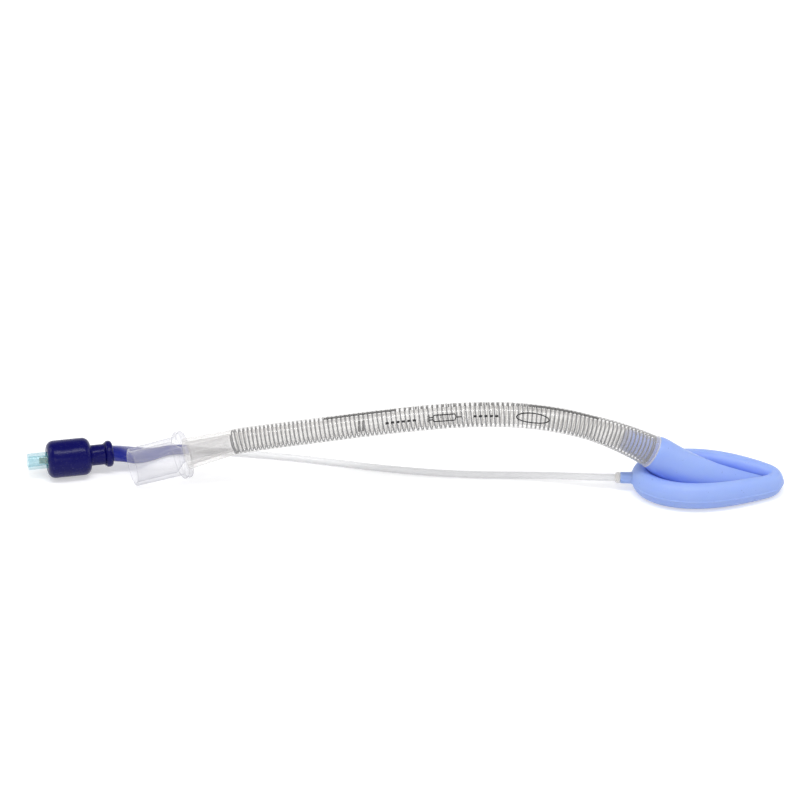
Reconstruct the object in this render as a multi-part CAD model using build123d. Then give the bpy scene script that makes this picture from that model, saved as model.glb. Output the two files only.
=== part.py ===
from build123d import *
from math import cos, pi, radians, sin, tan
import os

# A reinforced laryngeal mask airway, lying as on a table. Millimetres, +X towards the mask's tip, +Z up.

# Airway tube: bore, wall and the lie of its centreline from the mask's collar to the connector
tube_bore = 7.0
tube_wall = 1.5
tube_length = 186.0
collar_tilt = 31.0
collar_height = 18.1
collar_setback = 7.7
crown_radius = 116.0
descent_radius = 200.0
descent_share = 0.7
settle_radius = 600.0
end_bend_radius = 60.0
end_bend_angle = 8.0

# Ends of the tube: flared over the mask's spigot, stretched over the connector's spigot
collar_diameter = 12.9
flare_length = 27.0
sleeve_length = 17.7
sleeve_diameter = 12.4
bond_gap = 0.05

# Reinforcing wire in the tube's wall
coil_turns = 98
coil_sides = 8
wire_thickness = 0.45
wire_cover = 0.4
coil_end_margin = 1.2

# Connector: 15 mm male cone, double-beaded flange and spigot
cone_rim_diameter = 15.0
cone_taper = 1.0 / 40.0
cone_length = 18.2
cone_wall = 1.3
rim_rounding = 0.4
flange_diameter = 18.6
flange_width = 4.2
flange_groove = 0.6
spigot_tip_wall = 0.55
funnel_length = 5.0

# Cuff: an egg-shaped ring of inflated tube, lying on the table
cuff_length = 59.6
cuff_half_width = 11.2
cuff_heel_fullness = 3.5
cuff_side_fullness = 0.6
cuff_roll_half_width = 4.3
cuff_roll_half_height = 5.4
cuff_tip_thinning = 0.7
cuff_tip_bluntness = 3.2
cuff_sections = 11

# Inflation port on the heel of the cuff
port_diameter = 4.2
port_length = 4.1
port_bore_depth = 3.0
port_root_depth = 2.0

# Mask bowl: shell over the cuff's hole, plate in the hole, spigot into the tube and two aperture bars
bowl_wall = 1.5
bowl_land = 3.0
bowl_rises = [
    (0.355, 12.1, 16.0, 7.2),
    (0.456, 7.6, 6.0, 8.2),
    (0.534, 6.6, 0.0, 6.3),
    (0.634, 6.3, 0.0, 4.0),
    (0.73, 6.6, 0.0, 1.9),
]
bowl_apex = (0.81, 7.2, 0.0, 0.35)
spigot_length = 12.0
plate_thickness = 1.5
plate_height = 5.6
plate_share = 0.7
plate_inset = 0.6
bar_width = 1.1
bar_depth = 1.3
bar_spacing = 3.4
bar_station = 8.0
collar_bead_width = 0.8
collar_bead_height = 0.25
collar_bead_rounding = 0.2

# Inflation line
line_diameter = 2.75
line_bore = 1.3
port_bead_diameter = 4.6
port_bead_length = 2.0
port_bead_rounding = 0.7
corner_share = 0.45

# Pilot group: grip, balloon and check valve on one level axis, turned in plan
pilot_x = -151.0
pilot_y = 5.4
pilot_turn = 11.5
grip_diameter = 14.7
grip_length = 17.2
grip_rounding = 3.0
neck_diameter = 8.1
neck_length = 5.6
lip_diameter = 10.3
lip_width = 3.1
lip_rounding = 1.4
balloon_width = 10.6
balloon_thickness = 2.8
balloon_root_width = 5.8
balloon_tail_diameter = 4.0
balloon_tail_grip = 4.0
balloon_lift = 0.1

# Check valve
valve_diameter = 6.6
valve_exposed = 7.6
socket_mouth_diameter = 4.3
socket_taper = 0.06
socket_depth = 9.2
seat_thickness = 1.2
seat_bore = 2.3
chamber_diameter = 4.9
chamber_length = 6.6
stem_tip_recess = 4.6
stem_tip_diameter = 2.4
stem_shoulder_diameter = 3.3
stem_shoulder_length = 1.2
stem_shank_diameter = 1.8
stem_head_diameter = 3.2
stem_head_thickness = 1.0
stem_travel = 1.4
seal_diameter = 3.9
seal_thickness = 0.9
seal_gap = 0.05
spring_wire = 0.3
spring_turns = 4
retainer_thickness = 1.2
retainer_hole = 1.6


# Lie of the tube


def lay_runs(slope):
    """Runs of the centreline from the collar to the connector's rim, each a length and a turn downwards in degrees."""
    steep = descent_share * slope
    bends = [
        (crown_radius * radians(collar_tilt), collar_tilt),
        (descent_radius * radians(steep), steep),
        (settle_radius * radians(slope - steep), slope - steep),
    ]
    end = (end_bend_radius * radians(end_bend_angle), end_bend_angle)
    straight = tube_length - sleeve_length - end[0] - sum(length for length, turn in bends)
    return bends + [(straight, 0.0), end, (sleeve_length + flange_width + cone_length, 0.0)]


def place_on(runs, along):
    """Point and heading, in degrees above the table, at a distance along the runs, starting at the collar."""
    x, z, heading = 0.0, collar_height, collar_tilt
    for length, turn in runs:
        part = min(max(along, 0.0), length)
        after = heading - turn * part / length
        if turn:
            radius = length / radians(turn)
            x -= radius * (sin(radians(heading)) - sin(radians(after)))
            z += radius * (cos(radians(after)) - cos(radians(heading)))
        else:
            x -= part * cos(radians(heading))
            z += part * sin(radians(heading))
        heading = after
        along -= length
        if along <= 0.0:
            break
    return x, z, heading


def rim_clearance(slope):
    """Height of the connector's rim above the table when the tube settles at a slope."""
    runs = lay_runs(slope)
    x, z, heading = place_on(runs, sum(length for length, turn in runs))
    lean = radians(-heading)
    return z - (cone_rim_diameter / 2 - rim_rounding) * cos(lean) - rim_rounding * (1 - sin(lean))


def settled_slope():
    """Slope at which the connector's rim rests on the table."""
    low, high = 1.0, 45.0
    for halving in range(50):
        middle = (low + high) / 2
        if rim_clearance(middle) > 0.0:
            low = middle
        else:
            high = middle
    return low


rest_slope = settled_slope()
runs = lay_runs(rest_slope)
line_of_tube = sum(length for length, turn in runs)
reinforced_end = tube_length - sleeve_length

# The frame's origin stands midway between the connector's rim and the cuff's tip
rim_x, rim_z, rim_heading = place_on(runs, line_of_tube)
rim_reach = rim_x - cone_rim_diameter / 2 * sin(radians(-rim_heading))
heel_x = -(collar_setback + rim_reach + cuff_length) / 2
collar_x = heel_x + collar_setback


def station(along):
    """Plane square to the centreline: its normal points to the connector, its x across, its y to the tube's belly."""
    x, z, heading = place_on(runs, along)
    normal = (-cos(radians(heading)), 0, sin(radians(heading)))
    return Plane(origin=(collar_x + x, 0, z), x_dir=(0, 1, 0), z_dir=normal)


def lay_path(start, end):
    """Wire of tangent arcs and straight runs along the centreline between two distances from the collar."""
    edges = []
    reached = 0.0
    for length, turn in runs:
        first = max(start, reached)
        last = min(end, reached + length)
        reached += length
        if last - first < 1e-6:
            continue
        ends = station(first).origin, station(last).origin
        if turn:
            edges.append(Edge.make_three_point_arc(ends[0], station((first + last) / 2).origin, ends[1]))
        else:
            edges.append(Edge.make_line(*ends))
    return Wire(edges)


def loft_rounds(stations, radius):
    """Solid through circles square to the centreline, with the radius given as a function of the distance."""
    return loft([station(along) * Circle(radius(along)) for along in stations])


# Airway tube and its wire

tube_outer_radius = tube_bore / 2 + tube_wall


def flare(along):
    """How much the tube's radius has grown towards the collar."""
    share = max(0.0, 1.0 - along / flare_length)
    return (collar_diameter / 2 - tube_outer_radius) * share


def sleeve_growth(along):
    """How much the tube's radius has grown over the connector's spigot."""
    share = max(0.0, (along - reinforced_end) / sleeve_length)
    return (sleeve_diameter / 2 - tube_outer_radius) * share


def tube_layer(radius):
    """Round solid along the whole tube, of a radius at its plain middle."""
    flare_stations = [flare_length * share for share in (0.0, 0.25, 0.5, 0.75, 1.0)]
    flared = loft_rounds(flare_stations, lambda along: radius + flare(along))
    middle = sweep(station(flare_length) * Circle(radius), path=lay_path(flare_length, reinforced_end))
    sleeve = loft_rounds([reinforced_end, tube_length], lambda along: radius + sleeve_growth(along))
    return flared + middle + sleeve


def make_airway_tube():
    """Clear tube, flared at the mask's collar and stretched over the connector's spigot."""
    return tube_layer(tube_outer_radius) - tube_layer(tube_bore / 2)


def wound_wire(centres, outward, along, half):
    """Square wire through a list of centres, turned by the directions that point out of the coil and along it."""
    stretch = 1.0 / cos(pi / coil_sides)
    rings = []
    for centre, out, axis in zip(centres, outward, along):
        corners = [(1, 1), (1, -1), (-1, -1), (-1, 1)]
        rings.append([centre + out * (half * stretch * a) + axis * (half * b) for a, b in corners])
    faces = []
    for one, two in zip(rings, rings[1:]):
        for corner in range(4):
            following = (corner + 1) % 4
            faces.append(Face(Wire.make_polygon([one[corner], one[following], two[following]])))
            faces.append(Face(Wire.make_polygon([one[corner], two[following], two[corner]])))
    faces.append(Face(Wire.make_polygon(rings[0])))
    faces.append(Face(Wire.make_polygon(rings[-1])))
    return Solid(Shell(faces))


def make_reinforcing_coil():
    """Wire wound round the bore in the tube's wall, from the collar to the connector's spigot."""
    reach = reinforced_end - 2 * coil_end_margin
    count = coil_turns * coil_sides
    centres, outward, along = [], [], []
    for step in range(count + 1):
        distance = coil_end_margin + reach * step / count
        angle = 2 * pi * step / coil_sides
        here = station(distance)
        out = here.x_dir * cos(angle) + here.y_dir * sin(angle)
        radius = tube_outer_radius + flare(distance) - wire_cover - wire_thickness / 2
        centres.append(here.origin + out * radius)
        outward.append(out)
        along.append(here.z_dir)
    return wound_wire(centres, outward, along, wire_thickness / 2)


# Connector


def connector_plane():
    """Plane at the connector's rim, with its z along the axis into the tube."""
    rim = station(line_of_tube)
    return Plane(origin=rim.origin, x_dir=rim.x_dir, z_dir=-rim.z_dir)


def make_airway_connector():
    """Clear 15 mm male cone with a double-beaded flange and a spigot, turned about one axis."""
    rim_radius = cone_rim_diameter / 2
    root_radius = rim_radius + cone_length * cone_taper / 2
    flange_radius = flange_diameter / 2
    lobe = flange_width / 4
    shoulder = cone_length + flange_width
    tip = shoulder + sleeve_length
    spigot_root = sleeve_diameter / 2 - tube_wall - bond_gap
    spigot_tip = tube_bore / 2 - bond_gap
    bore = spigot_tip - spigot_tip_wall
    mouth = rim_radius - cone_wall
    edge = flange_radius - lobe
    outside = Polyline((mouth, 0), (rim_radius, 0), (root_radius, cone_length), (edge, cone_length))
    front_bead = ThreePointArc(outside @ 1, (flange_radius, cone_length + lobe), (edge, cone_length + 2 * lobe))
    back_crown = (flange_radius - flange_groove / 2, cone_length + 3 * lobe)
    back_bead = ThreePointArc(front_bead @ 1, back_crown, (edge, shoulder))
    inside = Polyline(
        (edge, shoulder),
        (spigot_root, shoulder),
        (spigot_tip, tip),
        (bore, tip),
        (bore, cone_length + funnel_length / 2),
        (mouth, cone_length - funnel_length / 2),
        (mouth, 0),
    )
    body = revolve(Plane.XZ * make_face(outside + front_bead + back_bead + inside), axis=Axis.Z)
    body = fillet(body.edges().group_by(Axis.Z)[0], rim_rounding)
    return connector_plane() * body


# Cuff

roll_centre_span = cuff_length - 2 * cuff_roll_half_width + cuff_tip_thinning


def roll_centre(share):
    """Plan position of the cuff's roll for a share of the way round from heel to tip."""
    turn = pi * share
    ahead = (1 - cos(turn)) / 2
    body = cuff_half_width - cuff_side_fullness
    width = body + cuff_heel_fullness * cos(turn) - cuff_side_fullness * cos(2 * turn)
    width += cuff_tip_bluntness * ahead**16
    return heel_x + cuff_roll_half_width + roll_centre_span * ahead, sin(turn) * width


def roll_frame(share):
    """Centre of the roll in plan, its heading, the way into the hole and how much the roll has thinned."""
    nudge = 1e-4
    before, after = roll_centre(share - nudge), roll_centre(share + nudge)
    forward = Vector(after[0] - before[0], after[1] - before[1], 0).normalized()
    thinning = cuff_tip_thinning * ((1 - cos(pi * share)) / 2) ** 4
    return Vector(*roll_centre(share), 0), forward, forward.cross(Vector(0, 0, 1)), thinning


def roll_section(share):
    """Oval section of the cuff's roll, square to its centreline and resting on the table."""
    centre, forward, inward, thinning = roll_frame(share)
    half_height = cuff_roll_half_height - thinning
    across = Plane(origin=centre + Vector(0, 0, half_height), x_dir=inward, z_dir=forward)
    return across * Ellipse(cuff_roll_half_width - thinning, half_height)


def hole_edge(share):
    """Plan position of the edge of the cuff's hole, less a seating gap."""
    centre, forward, inward, thinning = roll_frame(share)
    return centre + inward * (cuff_roll_half_width - thinning + bond_gap)


def make_cuff_ring():
    """Egg-shaped ring, lofted from heel to tip along one side and mirrored."""
    shares = [step / (cuff_sections - 1) for step in range(cuff_sections)]
    side = loft([roll_section(share) for share in shares])
    return side + mirror(side, about=Plane.XZ)


def port_axis():
    """Plane at the port's mouth, with its z into the heel."""
    mouth = (heel_x - port_length, 0, cuff_roll_half_height)
    return Plane(origin=mouth, x_dir=(0, 1, 0), z_dir=(1, 0, 0))


def make_cuff(ring):
    """Inflated ring with its inflation port at the heel."""
    root = port_length + port_root_depth
    port = port_axis() * Cylinder(port_diameter / 2, root, align=(Align.CENTER, Align.CENTER, Align.MIN))
    bore_radius = line_diameter / 2 + bond_gap
    bore = port_axis() * Cylinder(bore_radius, port_bore_depth, align=(Align.CENTER, Align.CENTER, Align.MIN))
    return ring + port - bore


# Mask bowl


def collar_section(ahead, radius):
    """Round section of the bowl's collar, at a distance past the collar's face."""
    lean = radians(collar_tilt)
    away = Vector(cos(lean), 0, -sin(lean))
    origin = Vector(collar_x, 0, collar_height) + away * ahead
    return Plane(origin=origin, x_dir=(0, 1, 0), z_dir=away) * Circle(radius)


def bowl_section(share, height, lean, half_height, inset):
    """Oval section of the bowl, as wide as the cuff's hole, leaning back by an angle in degrees."""
    edge = hole_edge(share)
    away = Vector(cos(radians(lean)), 0, -sin(radians(lean)))
    plane = Plane(origin=(edge.X, 0, height), x_dir=(0, 1, 0), z_dir=away)
    return plane * Ellipse(edge.Y - inset, half_height - inset)


def bowl_layer(collar_radius, inset, apex):
    """Half-cone from the round collar towards the apex, drawn in by an inset."""
    sections = [collar_section(ahead, collar_radius) for ahead in (0.0, bowl_land)]
    for share, height, lean, half_height in bowl_rises:
        sections.append(bowl_section(share, height, lean, half_height, inset))
    if apex:
        sections.append(bowl_section(*bowl_apex, 0.0))
    return loft(sections)


def make_plate():
    """Plate that fills the heel of the cuff's hole and runs into the bowl's wall."""
    points = []
    for step in range(cuff_sections):
        part = step / (cuff_sections - 1)
        inward = roll_frame(plate_share * part)[2]
        points.append(hole_edge(plate_share * part) + inward * (plate_inset * part))
    near = Spline(*points, tangents=[(0, 1), tuple(roll_frame(plate_share)[1])[:2]])
    outline = near + mirror(near, about=Plane.XZ) + Line(points[-1], (points[-1].X, -points[-1].Y))
    return Pos(0, 0, plate_height) * extrude(make_face(outline), plate_thickness, dir=(0, 0, 1))


def make_bars():
    """Two upright bars across the mouth of the bore."""
    bars = []
    for side in (-1, 1):
        mouth = Plane(collar_section(bowl_land + bar_station, 1.0).location)
        bars.append(mouth * Pos(side * bar_spacing / 2, 0, 0) * Box(bar_width, 2 * collar_diameter, bar_depth))
    return bars


def make_mask_bowl():
    """Bowl, plate, tube spigot and aperture bars, moulded as one."""
    outer = bowl_layer(collar_diameter / 2, 0.0, True)
    reach = cuff_length + collar_diameter
    above = Pos(heel_x + reach / 2, 0, plate_height + reach / 2) * Box(2 * reach, reach, reach)
    shell = outer & above
    spigot_stations = [spigot_length * share for share in (0.0, 0.5, 1.0)]
    spigot = loft_rounds(spigot_stations, lambda along: tube_bore / 2 + flare(along) - bond_gap)
    inner = bowl_layer(tube_bore / 2, bowl_wall, False)
    bore = sweep(station(spigot_length) * Circle(tube_bore / 2), path=lay_path(0.0, spigot_length))
    body = shell + make_plate() - inner + spigot - bore
    for bar in make_bars():
        body += bar & shell
    return body


def make_collar_bead():
    """Thin ring of adhesive round the tube's end, against the mask's collar."""
    inner = collar_diameter / 2 + bond_gap
    outer = Cylinder(inner + collar_bead_height, collar_bead_width)
    outer = fillet(outer.edges().filter_by(GeomType.CIRCLE), collar_bead_rounding)
    return station(collar_bead_width / 2 + bond_gap) * (outer - Cylinder(inner, collar_bead_width))


# Inflation line, from the port on the cuff to the balloon

line_height = line_diameter / 2
port_mouth = heel_x - port_length
line_route = [
    (port_mouth + port_bore_depth, 0.0, cuff_roll_half_height),
    (55.5, 0.0, cuff_roll_half_height),
    (42.0, 3.7, 3.2),
    (28.0, 6.2, 1.5),
    (9.0, 6.1, line_height),
    (-10.0, 7.2, line_height),
    (-29.0, 9.7, line_height),
    (-48.0, 13.2, line_height),
    (-67.0, 16.5, line_height),
    (-85.0, 18.6, line_height),
    (-98.0, 19.6, line_height + 0.3),
    (-108.5, 19.4, balloon_tail_diameter / 2 + balloon_lift),
]


def corner_radii(points):
    """Largest arc at each corner that its two runs allow."""
    radii = []
    for before, corner, after in zip(points, points[1:], points[2:]):
        one, two = Vector(*corner) - Vector(*before), Vector(*after) - Vector(*corner)
        half_turn = radians(one.get_angle(two)) / 2
        radii.append(corner_share * min(one.length, two.length) / tan(half_turn))
    return radii


def make_inflation_line():
    """Thin clear tube, laid on the table from the cuff's port to the balloon's tail."""
    path = FilletPolyline(*line_route, radius=corner_radii(line_route))
    mouth = Plane(origin=path @ 0, z_dir=path % 0)
    line = sweep(mouth * Circle(line_diameter / 2), path=path) - sweep(mouth * Circle(line_bore / 2), path=path)
    section = pi * (line_diameter**2 - line_bore**2) / 4
    print("line length", round(path.length, 1), "volume by length", round(section * path.length, 1))
    return line


def make_port_bead():
    """Ring of clear adhesive where the line enters the port."""
    bead = Cylinder(port_bead_diameter / 2, port_bead_length, align=(Align.CENTER, Align.CENTER, Align.MAX))
    bead = fillet(bead.edges(), port_bead_rounding)
    hole = Cylinder(line_diameter / 2 + bond_gap, port_bead_length, align=(Align.CENTER, Align.CENTER, Align.MAX))
    return port_axis() * (bead - hole)


# Pilot group: every piece is turned about one level axis that starts at the valve's mouth

grip_back = valve_exposed + grip_length
lip_end = grip_back + neck_length + lip_width
valve_length = socket_depth + seat_thickness + chamber_length
pilot_axis = Plane(
    origin=(pilot_x, pilot_y, grip_diameter / 2),
    x_dir=(-sin(radians(pilot_turn)), cos(radians(pilot_turn)), 0),
    z_dir=(cos(radians(pilot_turn)), sin(radians(pilot_turn)), 0),
)


def turned(profile):
    """Solid turned about the pilot group's axis from points of radius and distance from the valve's mouth."""
    face = make_face(Polyline(*profile, close=True))
    return revolve(Plane.XZ * face, axis=Axis.Z)


def on_pilot_axis(solid):
    """Place a turned solid so that the middle of the grip stands at the group's centre."""
    return pilot_axis * Pos(0, 0, -valve_exposed - grip_length / 2) * solid


def make_pilot_grip():
    """Soft drum with a neck and a beaded lip, moulded as one round the valve."""
    drum = Pos(0, 0, valve_exposed + grip_length / 2) * Cylinder(grip_diameter / 2, grip_length)
    drum = fillet(drum.edges().filter_by(GeomType.CIRCLE), grip_rounding)
    neck_reach = neck_length + lip_width / 2
    neck = Pos(0, 0, grip_back + neck_reach / 2) * Cylinder(neck_diameter / 2, neck_reach)
    lip = Pos(0, 0, lip_end - lip_width / 2) * Cylinder(lip_diameter / 2, lip_width)
    lip = fillet(lip.edges().filter_by(GeomType.CIRCLE), lip_rounding)
    socket = Pos(0, 0, valve_length / 2) * Cylinder(valve_diameter / 2, valve_length)
    passage = Pos(0, 0, lip_end / 2) * Cylinder(retainer_hole / 2, lip_end)
    return drum + neck + lip - socket - passage


def make_valve_body():
    """Valve barrel with a tapered socket for a syringe, a seat and a spring chamber."""
    mouth = socket_mouth_diameter / 2
    floor = mouth - socket_depth * socket_taper / 2
    seat_end = socket_depth + seat_thickness
    return turned([
        (mouth, 0),
        (valve_diameter / 2, 0),
        (valve_diameter / 2, valve_length),
        (chamber_diameter / 2, valve_length),
        (chamber_diameter / 2, seat_end),
        (seat_bore / 2, seat_end),
        (seat_bore / 2, socket_depth),
        (floor, socket_depth),
    ])


seal_start = socket_depth + seat_thickness + seal_gap
head_start = seal_start + seal_thickness
head_end = head_start + stem_head_thickness


def make_valve_stem():
    """Plunger that a syringe's tip pushes in: tip, shoulder, shank through the seat and head behind the seal."""
    shoulder_end = socket_depth - stem_travel - 2 * bond_gap
    return turned([
        (0, stem_tip_recess),
        (stem_tip_diameter / 2, stem_tip_recess),
        (stem_tip_diameter / 2, shoulder_end - stem_shoulder_length),
        (stem_shoulder_diameter / 2, shoulder_end - stem_shoulder_length / 2),
        (stem_shoulder_diameter / 2, shoulder_end),
        (stem_shank_diameter / 2, shoulder_end),
        (stem_shank_diameter / 2, head_start),
        (stem_head_diameter / 2, head_start),
        (stem_head_diameter / 2, head_end),
        (0, head_end),
    ])


def make_stem_seal():
    """Flat ring on the stem's shank that closes the seat."""
    inner = stem_shank_diameter / 2
    outer = seal_diameter / 2
    return turned([
        (inner, seal_start),
        (outer - seal_thickness / 3, seal_start),
        (outer, seal_start + seal_thickness / 3),
        (outer, head_start),
        (inner, head_start),
    ])


def make_spring_retainer():
    """Drilled disc in the end of the barrel that the spring bears on."""
    radius = chamber_diameter / 2
    return turned([
        (retainer_hole / 2, valve_length - retainer_thickness),
        (radius, valve_length - retainer_thickness),
        (radius, valve_length),
        (retainer_hole / 2, valve_length),
    ])


def make_valve_spring():
    """Coil spring between the stem's head and the retainer."""
    half = spring_wire / 2
    start = head_end + half
    reach = valve_length - retainer_thickness - half - start
    count = spring_turns * coil_sides
    radius = stem_head_diameter / 2 - half
    centres, outward, along = [], [], []
    for step in range(count + 1):
        angle = 2 * pi * step / coil_sides
        out = Vector(cos(angle), sin(angle), 0)
        centres.append(out * radius + Vector(0, 0, start + reach * step / count))
        outward.append(out)
        along.append(Vector(0, 0, 1))
    return wound_wire(centres, outward, along, half)


def make_pilot_balloon():
    """Flat balloon that widens from the lip, sinks to the table and narrows to a tail round the inflation line."""
    root = on_pilot_axis(Pos(0, 0, lip_end)).position
    tail = Vector(*line_route[-1])
    tail_run = (Vector(*line_route[-2]) - tail).normalized()
    start = pilot_axis.z_dir
    end = Vector(tail_run.X, tail_run.Y, 0).normalized()
    reach = (tail - root).length
    swell = [
        (0.0, balloon_root_width, 0.8 * balloon_root_width, 0.0),
        (0.13, 0.75 * balloon_width, 1.2 * balloon_thickness, 0.22),
        (0.33, balloon_width, balloon_thickness, 0.62),
        (0.6, 0.75 * balloon_width, balloon_thickness, 0.92),
        (0.85, 1.2 * balloon_tail_diameter, 0.95 * balloon_tail_diameter, 1.0),
        (1.0, balloon_tail_diameter, balloon_tail_diameter, 1.0),
    ]
    sections = []
    for share, width, thickness, drop in swell:
        heading = (start * (1 - share) + end * share).normalized()
        middle = root * (1 - share) ** 2 * (1 + 2 * share) + tail * share**2 * (3 - 2 * share)
        middle += start * (reach * share * (1 - share) ** 2) - end * (reach * share**2 * (1 - share))
        resting = thickness / 2 + balloon_lift
        height = pilot_axis.origin.Z * (1 - drop) + resting * drop
        across = heading.cross(Vector(0, 0, 1))
        plane = Plane(origin=(middle.X, middle.Y, height), x_dir=across, z_dir=heading)
        oval = Circle(width / 2) if width == thickness else Ellipse(width / 2, thickness / 2)
        sections.append(plane * oval)
    tail_plane = Plane(origin=sections[-1].location.position, x_dir=sections[-1].location.x_axis.direction, z_dir=end)
    grip = Cylinder(balloon_tail_diameter / 2, balloon_tail_grip, align=(Align.CENTER, Align.CENTER, Align.MIN))
    line_end = Plane(origin=tail, z_dir=tail_run)
    hole = Cylinder(line_diameter / 2 + bond_gap, 2 * balloon_tail_grip, align=(Align.CENTER, Align.CENTER, Align.MIN))
    return loft(sections) + tail_plane * grip - line_end * hole


ring = make_cuff_ring()
parts = {
    "airway_tube": make_airway_tube(),
    "reinforcing_coil": make_reinforcing_coil(),
    "airway_connector": make_airway_connector(),
    "cuff": make_cuff(ring),
    "mask_bowl": make_mask_bowl(),
    "collar_bead": make_collar_bead(),
    "inflation_line": make_inflation_line(),
    "port_bead": make_port_bead(),
    "pilot_balloon": make_pilot_balloon(),
    "pilot_grip": on_pilot_axis(make_pilot_grip()),
    "valve_body": on_pilot_axis(make_valve_body()),
    "valve_stem": on_pilot_axis(make_valve_stem()),
    "stem_seal": on_pilot_axis(make_stem_seal()),
    "valve_spring": on_pilot_axis(make_valve_spring()),
    "spring_retainer": on_pilot_axis(make_spring_retainer()),
}

os.makedirs("parts", exist_ok=True)
for name, solid in parts.items():
    export_step(solid, os.path.join("parts", name + ".step"))
    print(name, "volume", round(solid.volume, 1), "box", solid.bounding_box())
print("rest slope", round(rest_slope, 2), "heel x", round(heel_x, 2))
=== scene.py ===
from math import cos, exp, pi, radians, sin

import bpy
from bpy.props import FloatProperty, FloatVectorProperty, PointerProperty
from mathutils import Matrix, Vector


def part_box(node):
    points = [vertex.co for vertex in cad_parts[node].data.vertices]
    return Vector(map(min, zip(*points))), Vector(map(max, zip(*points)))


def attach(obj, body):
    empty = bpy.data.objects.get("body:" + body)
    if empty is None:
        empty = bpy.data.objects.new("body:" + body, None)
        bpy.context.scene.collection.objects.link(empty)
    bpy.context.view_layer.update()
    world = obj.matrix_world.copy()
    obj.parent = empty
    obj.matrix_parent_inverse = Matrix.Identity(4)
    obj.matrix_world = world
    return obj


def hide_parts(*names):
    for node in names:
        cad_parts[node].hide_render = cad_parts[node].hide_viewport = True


bl_info = {
    "name": "Laryngeal mask airway",
    "version": (1, 0, 0),
    "blender": (4, 5, 0),
    "location": "View3D > Sidebar > Airway",
    "description": "Dresses the packed airway: clear tube and wire, connector, mask, inflation line and pilot group",
    "category": "Object",
}

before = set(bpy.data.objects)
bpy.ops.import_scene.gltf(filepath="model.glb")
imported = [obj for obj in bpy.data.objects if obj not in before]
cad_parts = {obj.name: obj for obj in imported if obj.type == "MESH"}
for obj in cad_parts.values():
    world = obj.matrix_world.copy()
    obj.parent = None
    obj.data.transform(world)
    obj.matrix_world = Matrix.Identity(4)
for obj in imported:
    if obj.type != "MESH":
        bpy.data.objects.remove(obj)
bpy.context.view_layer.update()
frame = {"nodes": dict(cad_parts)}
cuff_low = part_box("cuff")[0]

BODY = "airway"
PLUNGER = "valve_plunger"
MM = 0.001


# Properties


def length(name, description, millimetres):
    """Property for a length, given in millimetres."""
    return FloatProperty(name=name, description=description, default=millimetres * MM, unit="LENGTH", precision=5)


def angle(name, description, degrees):
    """Property for an angle, given in degrees."""
    return FloatProperty(name=name, description=description, default=radians(degrees), unit="ROTATION")


def colour(name, description, red, green, blue):
    """Property for a colour, given as it looks on a screen, from 0 to 255."""
    def linear(value):
        share = value / 255
        return share / 12.92 if share <= 0.04045 else ((share + 0.055) / 1.055) ** 2.4
    shown = (linear(red), linear(green), linear(blue))
    return FloatVectorProperty(name=name, description=description, subtype="COLOR", size=3, min=0, max=1, default=shown)


class TubeSizes(bpy.types.PropertyGroup):
    """Airway tube and the wire in its wall."""
    bore: length("Bore", "Inner diameter of the plain tube", 7.0)
    wall: length("Wall", "Thickness of the tube's wall", 1.5)
    reach: length("Length", "Length of the tube along its centreline", 186.0)
    collar_height: length("Collar height", "Height of the centreline at the mask's collar", 18.1)
    collar_setback: length("Collar setback", "Distance from the cuff's heel to the collar's centre", 7.7)
    collar_tilt: angle("Collar tilt", "Slope of the centreline at the collar", 31.0)
    crown_radius: length("Crown radius", "Bend from the collar to the tube's highest point", 116.0)
    descent_radius: length("Descent radius", "Bend past the highest point", 200.0)
    descent_share: FloatProperty(name="Descent share", description="Share of the descent in that bend", default=0.7)
    settle_radius: length("Settle radius", "Gentle bend before the straight run", 600.0)
    rest_slope: angle("Resting slope", "Slope at which the tube runs down to the connector", 9.95)
    end_bend_radius: length("End bend radius", "Bend before the connector", 60.0)
    end_bend_angle: angle("End bend", "Turn of that bend", 8.0)
    collar_diameter: length("Collar diameter", "Outer diameter of the tube at the mask", 12.9)
    flare_length: length("Flare", "Length over which the tube widens towards the mask", 27.0)
    sleeve_length: length("Sleeve", "Length stretched over the connector's spigot", 17.7)
    sleeve_diameter: length("Sleeve diameter", "Outer diameter at the connector's flange", 12.4)
    wire: length("Wire", "Diameter of the reinforcing wire", 0.55)
    wire_cover: length("Wire cover", "Silicone over the wire", 0.14)
    wire_margin: length("Wire margin", "Tube without wire at each end", 1.3)
    closed_run: length("Closed run", "Length over which the end turns lie close", 0.9)
    pitch_closed: length("Closed pitch", "Distance between the close turns", 0.6)
    pitch_collar: length("Pitch at the mask", "Distance between turns at the mask", 1.45)
    pitch_middle: length("Pitch in the middle", "Distance between turns in the middle", 1.8)
    pitch_connector: length("Pitch at the connector", "Distance between turns at the connector", 1.57)


class ConnectorSizes(bpy.types.PropertyGroup):
    """Clear connector."""
    rim_diameter: length("Rim diameter", "Outer diameter at the mouth", 15.0)
    taper: FloatProperty(name="Taper", description="Growth of the cone's diameter along it", default=0.025)
    cone_length: length("Cone", "Length of the cone", 18.8)
    wall: length("Wall", "Wall at the mouth", 1.3)
    rounding: length("Rounding", "Rounding of the rim", 0.4)
    flange_diameter: length("Flange diameter", "Outer diameter of the double bead", 18.6)
    flange_width: length("Flange width", "Width of the double bead", 3.6)
    funnel: length("Funnel", "Length over which the bore narrows", 5.0)
    tip_wall: length("Spigot wall", "Wall at the spigot's tip", 0.55)
    gap: length("Gap", "Clearance between the spigot and the tube", 0.05)


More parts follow.
